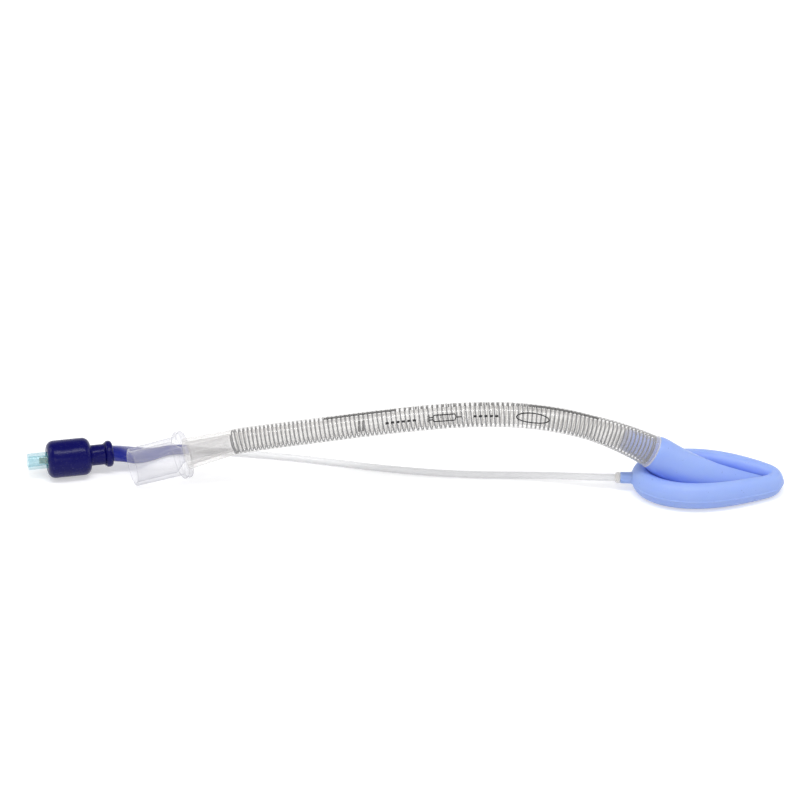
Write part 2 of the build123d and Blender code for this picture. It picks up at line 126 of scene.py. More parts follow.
class CuffSizes(bpy.types.PropertyGroup):
    """Inflated ring of the mask."""
    reach: length("Length", "Length of the cuff", 59.6)
    half_width: length("Half width", "Half width of the roll's centreline", 11.2)
    heel_fullness: length("Heel fullness", "How much wider the heel's half is", 3.5)
    side_fullness: length("Side fullness", "How much straighter the sides are", 0.6)
    roll_half_width: length("Roll half width", "Half width of the roll", 4.3)
    roll_half_height: length("Roll half height", "Half height of the roll", 5.4)
    tip_thinning: length("Tip thinning", "How much thinner the roll is at the tip", 0.7)
    tip_bluntness: length("Tip bluntness", "How much blunter the tip is than an egg's", 3.2)
    seam_height: length("Seam height", "Height of the parting seam", 0.24)
    seam_width: length("Seam width", "Width of the parting seam", 0.5)
    seam_step: length("Seam step", "How much lower the roll is under the seam", 0.22)
    port_diameter: length("Port diameter", "Outer diameter of the inflation port", 4.5)
    port_length: length("Port length", "Length of the inflation port", 4.1)
    port_rounding: length("Port rounding", "Rounding of the port's mouth", 0.25)
    port_socket: length("Port socket", "How far the line goes into the port", 3.0)
    port_root: length("Port root", "How far the port reaches into the roll", 1.6)
    port_gap: length("Port gap", "Clearance between the port and the line", 0.05)


class BowlSizes(bpy.types.PropertyGroup):
    """Bowl of the mask, between the tube's collar and the cuff's hole."""
    apex_share: FloatProperty(name="Apex", description="Share of the way round the cuff to the apex", default=0.84)
    skirt_height: length("Skirt height", "Height of the bowl's lower edge", 5.8)
    apex_height: length("Apex height", "Height of the apex", 7.3)
    shoulder: length("Shoulder", "How far the collar swells past the tube", 0.75)
    shoulder_run: length("Shoulder run", "Distance from the collar to the fullest swell", 3.2)
    opening_start: length("Opening start", "Distance of the opening from the heel", 17.4)
    opening_length: length("Opening length", "Length of the opening", 27.5)
    opening_width: length("Opening width", "Width of the opening", 11.2)
    spigot_length: length("Spigot", "Length of the spigot in the tube", 12.0)
    gap: length("Gap", "Clearance where pieces are bonded", 0.05)
    bar_rise: length("Bar rise", "How far the bars reach above the centreline", 4.9)
    bar_drop: length("Bar drop", "How far the bars reach below the centreline", 6.6)
    bar_station: length("Bar station", "Distance of the bars past the collar", 11.0)
    bar_spacing: length("Bar spacing", "Distance between the aperture bars", 3.4)
    bar_width: length("Bar width", "Width of an aperture bar", 1.1)
    bar_depth: length("Bar depth", "Depth of an aperture bar", 1.3)
    bead_width: length("Bead width", "Width of the bead at the collar", 0.45)


class LineSizes(bpy.types.PropertyGroup):
    """Inflation line."""
    diameter: length("Diameter", "Outer diameter", 2.75)


class PilotSizes(bpy.types.PropertyGroup):
    """Pilot group."""
    centre_x: length("Centre X", "Middle of the grip along the airway", -151.0)
    centre_y: length("Centre Y", "Middle of the grip across the airway", 5.4)
    turn: angle("Turn", "Turn of the group's axis in plan", 11.5)
    grip_diameter: length("Grip diameter", "Diameter of the drum", 14.7)
    grip_length: length("Grip length", "Length of the drum", 17.2)
    grip_rounding: length("Grip rounding", "Rounding of the drum's edges", 3.0)
    neck_diameter: length("Neck diameter", "Diameter of the neck", 8.1)
    neck_length: length("Neck length", "Length of the neck", 5.6)
    lip_diameter: length("Lip diameter", "Diameter of the beaded lip", 10.3)
    lip_width: length("Lip width", "Width of the beaded lip", 3.1)
    passage: length("Passage", "Diameter of the passage to the balloon", 1.6)
    neck_fillet: length("Neck fillet", "Fillet at both ends of the neck", 0.5)
    socket_rounding: length("Socket rounding", "Rounding of the grip's edge at the barrel", 0.3)
    valve_diameter: length("Valve diameter", "Diameter of the valve's barrel", 6.6)
    valve_exposed: length("Valve exposed", "Length of the barrel outside the grip", 7.6)
    valve_length: length("Valve length", "Length of the barrel", 17.0)
    socket_mouth: length("Socket mouth", "Radius of the socket at its mouth", 2.15)
    socket_floor: length("Socket floor", "Radius of the socket at its floor", 1.874)
    socket_depth: length("Socket depth", "Depth of the socket", 9.2)
    seat: length("Seat", "Radius of the hole in the valve's seat", 1.15)
    seat_wall: length("Seat wall", "Thickness of the valve's seat", 1.2)
    chamber: length("Chamber", "Radius of the spring's chamber", 2.45)
    barrel_rounding: length("Barrel rounding", "Rounding of the barrel's mouth", 0.3)
    balloon_width: length("Balloon width", "Width of the flat balloon", 10.6)
    balloon_thickness: length("Balloon thickness", "Thickness of the flat balloon", 2.8)
    tail_diameter: length("Tail diameter", "Diameter of the balloon's tail", 4.0)
    tail_length: length("Tail length", "Plain length of the tail over the line", 4.0)
    rest_gap: length("Rest gap", "Clearance of the balloon over the table", 0.1)


class PrintSizes(bpy.types.PropertyGroup):
    """Printed marks on the tube."""
    side_height: angle("Side height", "How far above the side the second row of marks stands", 28.0)
    bar: length("Bar", "Width of the long bars", 1.3)
    stroke: length("Stroke", "Width of the outlines", 0.44)
    tick_pitch: length("Tick pitch", "Distance between the ticks", 2.1)
    tick: length("Tick", "Height of a tick", 1.8)
    lift: length("Lift", "Height of the ink over the tube", 0.03)


class FinishColours(bpy.types.PropertyGroup):
    """Colours of the pieces."""
    silicone: colour("Clear silicone", "Milky tint of the clear silicone", 251, 248, 243)
    polymer: colour("Clear polymer", "Tint of the clear connector", 222, 222, 232)
    tubing: colour("Tubing", "Milky tint of the inflation line", 250, 250, 251)
    blue: colour("Blue silicone", "Mask and cuff", 162, 187, 245)
    # Deep blue serves for random mottling and as painted shade in the crease, under the collar and inside the bowl.
    deep_blue_and_shade: colour("Deep blue", "Blue silicone where it is thick or folded", 40, 88, 226)
    grip: colour("Grip", "Dark blue drum", 4, 3, 84)
    film: colour("Film", "Balloon's film", 6, 22, 150)
    turquoise: colour("Turquoise", "Valve's barrel", 130, 214, 230)
    tan: colour("Tan", "Valve's stem", 196, 156, 96)
    steel: colour("Steel", "Wire", 92, 95, 102)
    ink: colour("Ink", "Printed marks", 16, 16, 19)


class StageSizes(bpy.types.PropertyGroup):
    """Camera and light."""
    elevation: angle("Elevation", "Camera's height above the table", 35.0)
    roll: angle("Roll", "Camera's roll", 0.8)
    view_width: length("View width", "Width of what the camera sees", 312.5)
    aim_x: length("Aim X", "Middle of the view along the airway", -21.9)
    lift: length("Lift", "Height of the view's middle over the table's line", 33.5)
    lens: FloatProperty(name="Lens", description="Focal length in millimetres", default=300.0)


# Shader maths


class Signal:
    """Output of a node. Arithmetic on it adds Math nodes."""

    def __init__(self, finish, socket):
        self.finish = finish
        self.socket = socket

    def maths(self, operation, *values):
        """Math node over values and links."""
        return self.finish.add("ShaderNodeMath", {"operation": operation}, dict(enumerate(values)))

    def __add__(self, other):
        return self.maths("ADD", self, other)

    def __rsub__(self, other):
        return self.maths("SUBTRACT", other, self)

    def __mul__(self, other):
        return self.maths("MULTIPLY", self, other)

    def __pow__(self, other):
        return self.maths("POWER", self, other)

    __radd__ = __add__
    __rmul__ = __mul__


class Finish:
    """Node material built from expressions."""

    def __init__(self, name):
        self.material = bpy.data.materials.new(name)
        self.material.use_nodes = True
        self.tree = self.material.node_tree
        self.tree.nodes.clear()

    def add(self, kind, settings=None, inputs=None, output=0):
        """Add a node: its settings first, then the values or links of its sockets."""
        node = self.tree.nodes.new(kind)
        for name, value in (settings or {}).items():
            setattr(node, name, value)
        for name, value in (inputs or {}).items():
            if isinstance(value, Signal):
                self.tree.links.new(value.socket, node.inputs[name])
            else:
                node.inputs[name].default_value = value
        return Signal(self, node.outputs[output])

    def place(self):
        """Place in the object's own frame."""
        return self.add("ShaderNodeTexCoord", output="Object")

    def noise(self, scale, detail=3.0, stretch=(1, 1, 1), output=0):
        """Noise over the object's own frame, with about one blob a unit of 1 / scale metres."""
        scaled = self.add("ShaderNodeVectorMath", {"operation": "MULTIPLY"}, {0: self.place(), 1: stretch})
        return self.add("ShaderNodeTexNoise", None, {"Vector": scaled, "Scale": scale, "Detail": detail}, output)

    def held(self, name):
        """Value that the mesh holds at each vertex."""
        return self.add("ShaderNodeAttribute", {"attribute_name": name}, output="Fac")

    def ramp(self, value, low, high):
        """Smooth step from 0 at low to 1 at high."""
        steps = {"Value": value, "From Min": low, "From Max": high}
        return self.add("ShaderNodeMapRange", {"interpolation_type": "SMOOTHSTEP"}, steps)

    def blend(self, share, first, second):
        """Colour between two colours."""
        settings = {"data_type": "RGBA"}
        return self.add("ShaderNodeMix", settings, {"Factor": share, "A": rgba(first), "B": rgba(second)}, "Result")

    def edge(self):
        """Share that rises where a surface turns away."""
        return self.add("ShaderNodeLayerWeight", None, {"Blend": 0.3}, "Facing")

    def bump(self, height, distance, strength=1.0, normal=None):
        """Normal that leans with a height, in metres of relief."""
        inputs = {"Height": height, "Distance": distance, "Strength": strength}
        if normal:
            inputs["Normal"] = normal
        return self.add("ShaderNodeBump", None, inputs)

    def surface(self, **inputs):
        """Principled surface. Spaces in a socket's name are written as underscores."""
        named = {name.replace("_", " "): value for name, value in inputs.items()}
        return self.add("ShaderNodeBsdfPrincipled", None, named)

    def glazed(self, body, roughness, normal, strength):
        """See-through surface whose outer gloss stays as strong as on a solid one."""
        gloss = self.add("ShaderNodeBsdfGlossy", None, {"Roughness": roughness, "Normal": normal})
        behind = self.add("ShaderNodeNewGeometry", output="Backfacing")
        share = self.add("ShaderNodeLayerWeight", None, {"Blend": 0.3}, "Fresnel") * (1 - behind) * strength
        return self.add("ShaderNodeMixShader", None, {0: share, 1: body, 2: gloss})

    def done(self, shader):
        """Send a shader to the material's output."""
        node = self.tree.nodes.new("ShaderNodeOutputMaterial")
        self.tree.links.new(shader.socket, node.inputs["Surface"])
        return self.material


def rgba(value):
    """Colour with its alpha, or a link as it is."""
    return value if isinstance(value, Signal) else (*value, 1.0)


# Finishes


def clear_silicone(colours):
    """Clear, slightly milky silicone that is hazier over the connector and clearer over the mask's spigot."""
    f = Finish("clear_silicone")
    haze = f.noise(260.0, 2.0, (0.3, 1, 1))
    milk = 0.16 + 0.2 * f.held("inner") * (1 - 0.9 * f.held("spigot")) * (1 - 0.8 * f.held("sleeve"))
    relief = f.bump(f.noise(900.0, 3.0, (0.25, 1, 1)), 0.00002, 0.5)
    tint = f.blend(haze, colours.silicone, (0.92, 0.9, 0.87))
    clear = milk + 0.04 * haze + 0.5 * f.edge() ** 1.5
    wall = f.surface(Base_Color=tint, Roughness=0.3 + 0.1 * haze, Alpha=clear, Normal=relief, IOR=1.41)
    return f.done(f.glazed(wall, 0.16, relief, 0.8 * (1 - f.held("inner"))))


def spring_steel(colours):
    """Drawn steel wire."""
    f = Finish("spring_steel")
    streaks = f.noise(2500.0, 4.0)
    tint = f.blend(streaks, colours.steel, (0.2, 0.2, 0.22))
    return f.done(f.surface(Base_Color=tint, Metallic=0.6, Roughness=0.3 + 0.2 * streaks))


def clear_polymer(colours):
    """Clear moulded polymer with faint flow marks, and painted shade that darkens its tint where the surface turns
    away.
    """
    f = Finish("clear_polymer")
    flow = f.noise(220.0, 3.0, (0.2, 1, 1))
    relief = f.bump(flow, 0.00006, 0.5)
    edge = f.edge()
    # Painted shade: the tint darkens to grey-blue where the surface turns away, in place of dark surroundings seen in
    # the edges.
    tint = f.blend(edge**2, colours.polymer, (0.34, 0.34, 0.43))
    clear = 0.09 + 0.06 * flow + 0.75 * edge**2
    body = f.surface(Base_Color=tint, Roughness=0.2 + 0.1 * flow, IOR=1.5, Alpha=clear, Normal=relief)
    return f.done(f.glazed(body, 0.05, relief, 0.8))


def blue_silicone(colours):
    """Blue silicone with random deeper mottling, and painted shade that deepens the colour where the mesh holds it: in
    the crease between cuff and bowl, under the collar and inside.
    """
    f = Finish("blue_silicone")
    cloud = f.noise(120.0, 4.0)
    grain = f.noise(3500.0, 2.0)
    # Painted shade: the depth held at the vertices darkens the blue where shade falls, in the crease, under the collar
    # and inside.
    depth = f.held("depth")
    tint = f.blend(0.15 * cloud, colours.blue, colours.deep_blue_and_shade)
    tint = f.blend(depth, tint, colours.deep_blue_and_shade)
    tint = f.blend(0.4 * f.ramp(f.noise(900.0, 1.0), 0.73, 0.76), tint, (0.2, 0.26, 0.6))
    fine = f.bump(grain, 0.00002, 0.5)
    relief = f.bump(cloud, 0.00012, 0.5, fine)
    return f.done(f.surface(Base_Color=tint, Roughness=0.36 + 0.12 * cloud, Normal=relief, Subsurface_Weight=0.35,
                            Subsurface_Radius=(0.4, 0.6, 1.0), Subsurface_Scale=0.002, IOR=1.43))


def clear_adhesive(colours):
    """Bead of clear adhesive."""
    f = Finish("clear_adhesive")
    lumps = f.noise(800.0, 2.0)
    relief = f.bump(lumps, 0.0002, 0.7)
    return f.done(f.surface(Base_Color=rgba(colours.silicone), Roughness=0.1 + 0.1 * lumps, Normal=relief,
                            Alpha=0.4 + 0.4 * f.edge(), IOR=1.41, Coat_Weight=0.8, Coat_Roughness=0.05))


def line_silicone(colours):
    """Milky thin tubing."""
    f = Finish("line_silicone")
    haze = f.noise(300.0, 3.0, (0.2, 1, 1))
    tint = f.blend(haze, colours.tubing, (0.88, 0.88, 0.9))
    relief = f.bump(haze, 0.00005, 0.5)
    return f.done(f.surface(Base_Color=tint, Roughness=0.2 + 0.1 * haze, Alpha=0.6, Normal=relief, IOR=1.41,
                            Coat_Weight=0.4, Coat_Roughness=0.1))


def dark_grip(colours):
    """Soft dark drum with a satin skin, fine specks and shallow marks."""
    f = Finish("dark_grip")
    cloud = f.noise(260.0, 4.0)
    specks = f.ramp(f.noise(2600.0, 1.0), 0.69, 0.74)
    scuffs = f.ramp(f.noise(700.0, 5.0, (0.3, 1, 1)), 0.6, 0.72)
    tint = f.blend(0.35 * cloud, colours.grip, (0.004, 0.004, 0.13))
    tint = f.blend(0.2 * specks, tint, (0.3, 0.3, 0.5))
    relief = f.bump(cloud + 0.4 * scuffs, 0.00022, 0.6)
    return f.done(f.surface(Base_Color=tint, Roughness=0.2 + 0.14 * cloud + 0.15 * scuffs, Normal=relief, IOR=1.45,
                            Specular_IOR_Level=0.2))


def balloon_film(colours):
    """Thin blue film, wrinkled along the balloon."""
    f = Finish("balloon_film")
    wrinkles = f.noise(240.0, 3.0, (0.2, 1, 1))
    tint = f.blend(wrinkles, colours.film, (0.0, 0.008, 0.2))
    relief = f.bump(wrinkles, 0.0002, 0.5)
    return f.done(f.surface(Base_Color=tint, Roughness=0.12 + 0.12 * wrinkles, Alpha=0.92, Normal=relief,
                            IOR=1.45, Coat_Weight=0.4, Coat_Roughness=0.08))


def turquoise_polymer(colours):
    """Translucent turquoise moulding."""
    f = Finish("turquoise_polymer")
    flow = f.noise(500.0, 3.0, (0.4, 1, 1))
    tint = f.blend(0.4 * flow, colours.turquoise, (0.08, 0.5, 0.62))
    relief = f.bump(flow, 0.00008, 0.5)
    return f.done(f.surface(Base_Color=tint, Roughness=0.08 + 0.06 * flow, IOR=1.5, Normal=relief,
                            Alpha=0.2 + 0.1 * flow + 0.3 * f.edge(), Coat_Weight=0.8, Coat_Roughness=0.04))


def moulded(name, tint, other, roughness):
    """Plain moulded plastic or rubber with a fine grain."""
    f = Finish(name)
    cloud = f.noise(900.0, 4.0)
    relief = f.bump(f.noise(4000.0, 2.0), 0.00003, 0.6)
    return f.done(f.surface(Base_Color=f.blend(cloud, tint, other), Roughness=roughness + 0.15 * cloud, Normal=relief))


def printed_ink(colours):
    """Pad-printed ink, slightly uneven."""
    f = Finish("printed_ink")
    worn = f.noise(2200.0, 3.0)
    tint = f.blend(0.5 * worn, colours.ink, (0.03, 0.03, 0.035))
    return f.done(f.surface(Base_Color=tint, Roughness=0.45 + 0.2 * worn))


def table_top():
    """Pale table that looks white to the camera and keeps the object's shadow."""
    f = Finish("table_top")
    path = f.add("ShaderNodeLightPath", output="Is Camera Ray")
    glossy = f.add("ShaderNodeLightPath", output="Is Glossy Ray")
    through = f.add("ShaderNodeLightPath", output="Is Transmission Ray")
    rays = path + glossy + through
    seen = rays.maths("MINIMUM", rays, 1.0)
    tint = f.blend(0.2 * f.noise(60.0, 2.0), (0.8, 0.8, 0.81), (0.78, 0.78, 0.79))
    matt = f.add("ShaderNodeBsdfDiffuse", None, {"Color": tint})
    glow = f.add("ShaderNodeEmission", None, {"Color": (1, 1, 1, 1), "Strength": seen * 0.4})
    return f.done(f.add("ShaderNodeAddShader", None, {0: matt, 1: glow}))


# Mesh helpers


def make_piece(name, points, faces, material, sharp=40.0, held=None):
    """Object with smooth faces, edges sharp past an angle in degrees, and values held at its vertices."""
    mesh = bpy.data.meshes.new(name)
    mesh.from_pydata([tuple(p) for p in points], [], faces)
    for label, values in (held or {}).items():
        layer = mesh.attributes.new(label, "FLOAT", "POINT")
        layer.data.foreach_set("value", values)
    mesh.validate()
    mesh.shade_smooth()
    mesh.set_sharp_from_angle(angle=radians(sharp))
    mesh.materials.append(material)
    piece = bpy.data.objects.new(name, mesh)
    bpy.context.scene.collection.objects.link(piece)
    return piece


def net(rows, columns, around, ends):
    """Quads between rows of points, closed around each row and from the last row to the first where asked."""
    faces = []
    for row in range(rows if ends else rows - 1):
        following = (row + 1) % rows
        for column in range(columns if around else columns - 1):
            beside = (column + 1) % columns
            faces.append((row * columns + column, row * columns + beside,
                          following * columns + beside, following * columns + column))
    return faces


def arc(centre, radius, start, end, count):
    """Points of an arc in the plane of radius and distance, from one angle in degrees to another."""
    steps = [radians(start + (end - start) * step / count) for step in range(count + 1)]
    return [(centre[0] + radius * cos(a), centre[1] + radius * sin(a)) for a in steps]


def turned(name, profile, place, material, segments=96, sharp=40.0):
    """Piece turned about the z of a place from a closed profile of radius and distance."""
    rows = []
    for step in range(segments):
        turn = 2 * pi * step / segments
        rows += [place @ Vector((r * cos(turn), r * sin(turn), z)) for r, z in profile]
    return make_piece(name, rows, net(segments, len(profile), True, True), material, sharp)


def dress(piece, body, slot, *nodes):
    """Ride a piece on its body and hide the nodes that it stands for. The slot is not used."""
    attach(piece, body)
    if nodes:
        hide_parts(*nodes)


def refinish(node, material):
    """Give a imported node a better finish."""
    target = frame["nodes"][node]
    target.data.materials.clear()
    target.data.materials.append(material)


# Lie of the tube


def runs_of(sizes):
    """Runs of the centreline from the collar to the connector's rim, each a length and a turn downwards."""
    connector = bpy.context.scene.connector_sizes
    steep = sizes.descent_share * sizes.rest_slope
    bends = [
        (sizes.crown_radius * sizes.collar_tilt, sizes.collar_tilt),
        (sizes.descent_radius * steep, steep),
        (sizes.settle_radius * (sizes.rest_slope - steep), sizes.rest_slope - steep),
    ]
    end = (sizes.end_bend_radius * sizes.end_bend_angle, sizes.end_bend_angle)
    straight = sizes.reach - sizes.sleeve_length - end[0] - sum(run for run, turn in bends)
    past = sizes.sleeve_length + connector.flange_width + connector.cone_length
    return bends + [(straight, 0.0), end, (past, 0.0)]


def station(along):
    """Frame on the centreline at a distance from the collar: x across, y to the belly, z to the connector."""
    sizes = bpy.context.scene.tube_sizes
    heel = cuff_low.x + bpy.context.scene.cuff_sizes.port_length
    x, z, heading = heel + sizes.collar_setback, sizes.collar_height, sizes.collar_tilt
    for run, turn in runs_of(sizes):
        part = min(max(along, 0.0), run)
        after = heading - turn * part / run
        if turn:
            radius = run / turn
            x -= radius * (sin(heading) - sin(after))
            z += radius * (cos(after) - cos(heading))
        else:
            x -= part * cos(heading)
            z += part * sin(heading)
        heading = after
        along -= run
        if along <= 0.0:
            break
    normal = Vector((-cos(heading), 0, sin(heading)))
    across = Vector((0, 1, 0))
    place = Matrix((across, normal.cross(across), normal)).transposed().to_4x4()
    place.translation = (x, 0, z)
    return place


def flare(sizes, along):
    """How much the tube's radius has grown at its two ends."""
    plain = sizes.bore / 2 + sizes.wall
    to_collar = max(0.0, 1.0 - along / sizes.flare_length)
    over_spigot = max(0.0, (along - sizes.reach + sizes.sleeve_length) / sizes.sleeve_length)
    return (sizes.collar_diameter / 2 - plain) * to_collar + (sizes.sleeve_diameter / 2 - plain) * over_spigot


# Lie of the cuff


def heel_x():
    """Where the cuff's heel stands along the airway."""
    return cuff_low.x + bpy.context.scene.cuff_sizes.port_length


def roll_centre(share):
    """Plan position of the roll's centreline for a share of the way from heel to tip."""
    sizes = bpy.context.scene.cuff_sizes
    turn = pi * share
    ahead = (1 - cos(turn)) / 2
    width = sizes.half_width - sizes.side_fullness + sizes.heel_fullness * cos(turn)
    width += sizes.tip_bluntness * ahead**16 - sizes.side_fullness * cos(2 * turn)
    span = sizes.reach - 2 * sizes.roll_half_width + sizes.tip_thinning
    return Vector((heel_x() + sizes.roll_half_width + span * ahead, sin(turn) * width, 0))


def roll_at(share):
    """Centre of the roll, the way into the hole and the thinning, for 0 to 2 shares round from the heel."""
    side = 1 if share <= 1 else -1
    share = share if share <= 1 else 2 - share
    nudge = 1e-4
    forward = (roll_centre(share + nudge) - roll_centre(share - nudge)).normalized()
    inward = forward.cross(Vector((0, 0, 1)))
    thinning = bpy.context.scene.cuff_sizes.tip_thinning * ((1 - cos(pi * share)) / 2) ** 4
    mirror = Vector((1, side, 1))
    return roll_centre(share) * mirror, inward * mirror, thinning


# Operators


class AIRWAY_OT_stage(bpy.types.Operator):
    """Build the table, the lights, the world and the camera"""
    bl_idname = "airway.stage"
    bl_label = "Stage"

    def execute(self, context):
        sizes = context.scene.stage_sizes
        up = Vector((0, sin(sizes.elevation), cos(sizes.elevation)))
        back = Vector((0, -cos(sizes.elevation), sin(sizes.elevation)))
        camera = bpy.data.cameras.new("camera")
        camera.lens = sizes.lens
        camera.sensor_width = 36.0
        holder = bpy.data.objects.new("camera", camera)
        context.scene.collection.objects.link(holder)
        distance = sizes.view_width * camera.lens / camera.sensor_width
        turn = Matrix.Rotation(sizes.roll, 4, back)
        holder.location = Vector((sizes.aim_x, 0, 0)) + up * sizes.lift + back * distance
        holder.rotation_mode = "QUATERNION"
        holder.rotation_quaternion = (turn @ (-back).to_track_quat("-Z", "Y").to_matrix().to_4x4()).to_quaternion()
        camera.clip_end = 10 * distance
        context.scene.camera = holder
        self.make_table(context)
        self.make_lights(context)
        self.make_world(context)
        context.scene.view_settings.view_transform = "Standard"
        return {"FINISHED"}

    def make_table(self, context):
        """Large pale table top."""
        half = 4.0
        corners = [(-half, -half, 0), (half, -half, 0), (half, half, 0), (-half, half, 0)]
        table = make_piece("table", corners, [(0, 1, 2, 3)], table_top())

    def make_lights(self, context):
        """Soft boxes overhead, in front and at the sides."""
        boxes = [
            ("overhead", (0.0, -0.3, 1.3), (1.0, 0.22), 7.5),
            ("front", (-0.3, -1.5, 0.9), (1.2, 0.4), 4.0),
            ("left", (-1.4, 0.3, 0.8), (0.6, 0.8), 3.0),
            ("right", (1.4, 0.3, 0.8), (0.6, 0.8), 3.0),
        ]
        for name, place, size, power in boxes:
            lamp = bpy.data.lights.new(name, "AREA")
            lamp.shape = "RECTANGLE"
            lamp.size, lamp.size_y = size
            lamp.energy = power
            holder = bpy.data.objects.new(name, lamp)
            context.scene.collection.objects.link(holder)
            holder.location = place
            holder.rotation_mode = "QUATERNION"
            holder.rotation_quaternion = (-Vector(place)).to_track_quat("-Z", "Y")

    def make_world(self, context):
        """World that is white to the camera, even as a light, and darker overhead in gloss and glass."""
        world = bpy.data.worlds.new("world")
        context.scene.world = world
        world.use_nodes = True
        nodes, links = world.node_tree.nodes, world.node_tree.links
        nodes.clear()
        path = nodes.new("ShaderNodeLightPath")
        place = nodes.new("ShaderNodeTexCoord")
        parts = nodes.new("ShaderNodeSeparateXYZ")
        links.new(place.outputs["Generated"], parts.inputs[0])
        dome = nodes.new("ShaderNodeMapRange")
        dome.inputs["From Min"].default_value = 0.05
        dome.inputs["From Max"].default_value = 0.6
        dome.inputs["To Min"].default_value = 1.0
        dome.inputs["To Max"].default_value = 0.25
        links.new(parts.outputs["Z"], dome.inputs["Value"])
        lighting = nodes.new("ShaderNodeMix")
        lighting.inputs["B"].default_value = 0.55
        links.new(path.outputs["Is Diffuse Ray"], lighting.inputs["Factor"])
        links.new(dome.outputs[0], lighting.inputs["A"])
        strength = nodes.new("ShaderNodeMix")
        strength.inputs["B"].default_value = 1.0
        links.new(path.outputs["Is Camera Ray"], strength.inputs["Factor"])
        links.new(lighting.outputs["Result"], strength.inputs["A"])
        sky = nodes.new("ShaderNodeBackground")
        sky.inputs["Color"].default_value = (1, 1, 1, 1)
        links.new(strength.outputs["Result"], sky.inputs["Strength"])
        output = nodes.new("ShaderNodeOutputWorld")
        links.new(sky.outputs[0], output.inputs["Surface"])


class AIRWAY_OT_tube(bpy.types.Operator):
    """Build the clear tube with its flared ends"""
    bl_idname = "airway.tube"
    bl_label = "Airway tube"

    def execute(self, context):
        sizes = context.scene.tube_sizes
        count, around = 240, 72
        points, sleeve, inner, spigot = [], [], [], []
        for inside in (False, True):
            order = range(count + 1) if not inside else range(count, -1, -1)
            for step in order:
                along = sizes.reach * step / count
                place = station(along)
                radius = sizes.bore / 2 + (0.0 if inside else sizes.wall) + flare(sizes, along)
                covered = self.fade(along - sizes.reach + sizes.sleeve_length + MM)
                on_mask = self.fade(context.scene.bowl_sizes.spigot_length - along)
                for column in range(around):
                    turn = 2 * pi * column / around
                    points.append(place @ Vector((radius * cos(turn), radius * sin(turn), 0)))
                    sleeve.append(covered)
                    inner.append(1.0 if inside else 0.0)
                    spigot.append(on_mask)
        faces = net(2 * count + 2, around, True, True)
        held = {"sleeve": sleeve, "inner": inner, "spigot": spigot}
        piece = make_piece("tube_wall", points, faces, clear_silicone(context.scene.finish_colours), 50.0, held)
        dress(piece, BODY, "clear_silicone", "airway_tube")
        return {"FINISHED"}

    def fade(self, past):
        """Share that rises from 0 to 1 over a millimetre past a line."""
        return max(0.0, min(1.0, past / MM))


class AIRWAY_OT_coil(bpy.types.Operator):
    """Wind the reinforcing wire in the tube's wall"""
    bl_idname = "airway.coil"
    bl_label = "Reinforcing wire"

    def execute(self, context):
        sizes = context.scene.tube_sizes
        sides, per_turn = 10, 30
        first = sizes.wire_margin
        last = sizes.reach - sizes.sleeve_length - sizes.wire_margin
        points = []
        rows = 0
        along, turns = first, 0.0
        while along < last:
            points += self.ring(sizes, along, 2 * pi * turns, sides)
            rows += 1
            turns += 1 / per_turn
            along += self.pitch(sizes, along, first, last) / per_turn
        faces = net(rows, sides, True, False)
        faces.append(tuple(range(sides)))
        faces.append(tuple(range((rows - 1) * sides, rows * sides))[::-1])
        piece = make_piece("wire_coil", points, faces, spring_steel(context.scene.finish_colours))
        piece.visible_shadow = False
        dress(piece, BODY, "spring_steel", "reinforcing_coil")
        return {"FINISHED"}

    def pitch(self, sizes, along, first, last):
        """Distance between turns, wider in the middle, with closed turns at both ends."""
        share = (along - first) / (last - first)
        change = 0.35
        to_middle = min(1.0, share / change)
        from_middle = min(1.0, (1 - share) / change)
        wide = sizes.pitch_collar + (sizes.pitch_middle - sizes.pitch_collar) * to_middle
        wide = min(wide, sizes.pitch_connector + (sizes.pitch_middle - sizes.pitch_connector) * from_middle)
        closed = min(along - first, last - along)
        return wide if closed > sizes.closed_run else sizes.pitch_closed

    def ring(self, sizes, along, turn, sides):
        """Round section of the wire."""
        place = station(along)
        radius = sizes.bore / 2 + sizes.wall + flare(sizes, along) - sizes.wire_cover - sizes.wire / 2
        out = Vector((cos(turn), sin(turn), 0))
        ring = []
        for side in range(sides):
            a = 2 * pi * side / sides
            ring.append(place @ (out * (radius + sizes.wire / 2 * cos(a)) + Vector((0, 0, sizes.wire / 2 * sin(a)))))
        return ring


class AIRWAY_OT_connector(bpy.types.Operator):
    """Build the clear connector"""
    bl_idname = "airway.connector"
    bl_label = "Connector"

    def execute(self, context):
        sizes, tube = context.scene.connector_sizes, context.scene.tube_sizes
        rim = sizes.rim_diameter / 2
        root = rim + sizes.cone_length * sizes.taper / 2
        lobe = sizes.flange_width / 4
        edge = sizes.flange_diameter / 2 - lobe
        shoulder = sizes.cone_length + sizes.flange_width
        tip = shoulder + tube.sleeve_length
        spigot_root = tube.sleeve_diameter / 2 - tube.wall - sizes.gap
        spigot_tip = tube.bore / 2 - sizes.gap
        bore = spigot_tip - sizes.tip_wall
        mouth = rim - sizes.wall
        soft = sizes.rounding
        profile = arc((mouth + soft, soft), soft, 180, 270, 5)
        profile += arc((rim - soft, soft), soft, 270, 360, 5)
        profile += [(root, sizes.cone_length)]
        profile += arc((edge, sizes.cone_length + lobe), lobe, -90, 75, 14)
        profile += arc((edge, sizes.cone_length + 3 * lobe), lobe, -75, 90, 14)
        profile += [(spigot_root, shoulder), (spigot_tip, tip), (bore, tip)]
        funnel_end = sizes.cone_length + sizes.funnel / 2
        for step in range(11):
            share = step / 10
            eased = share * share * (3 - 2 * share)
            profile.append((bore + (mouth - bore) * eased, funnel_end - sizes.funnel * share))
        reach = tube.reach + sizes.flange_width + sizes.cone_length
        place = station(reach) @ Matrix.Rotation(pi, 4, "Y")
        piece = turned("connector", profile, place, clear_polymer(context.scene.finish_colours), 128, 50.0)
        dress(piece, BODY, "clear_polymer", "airway_connector")
        return {"FINISHED"}


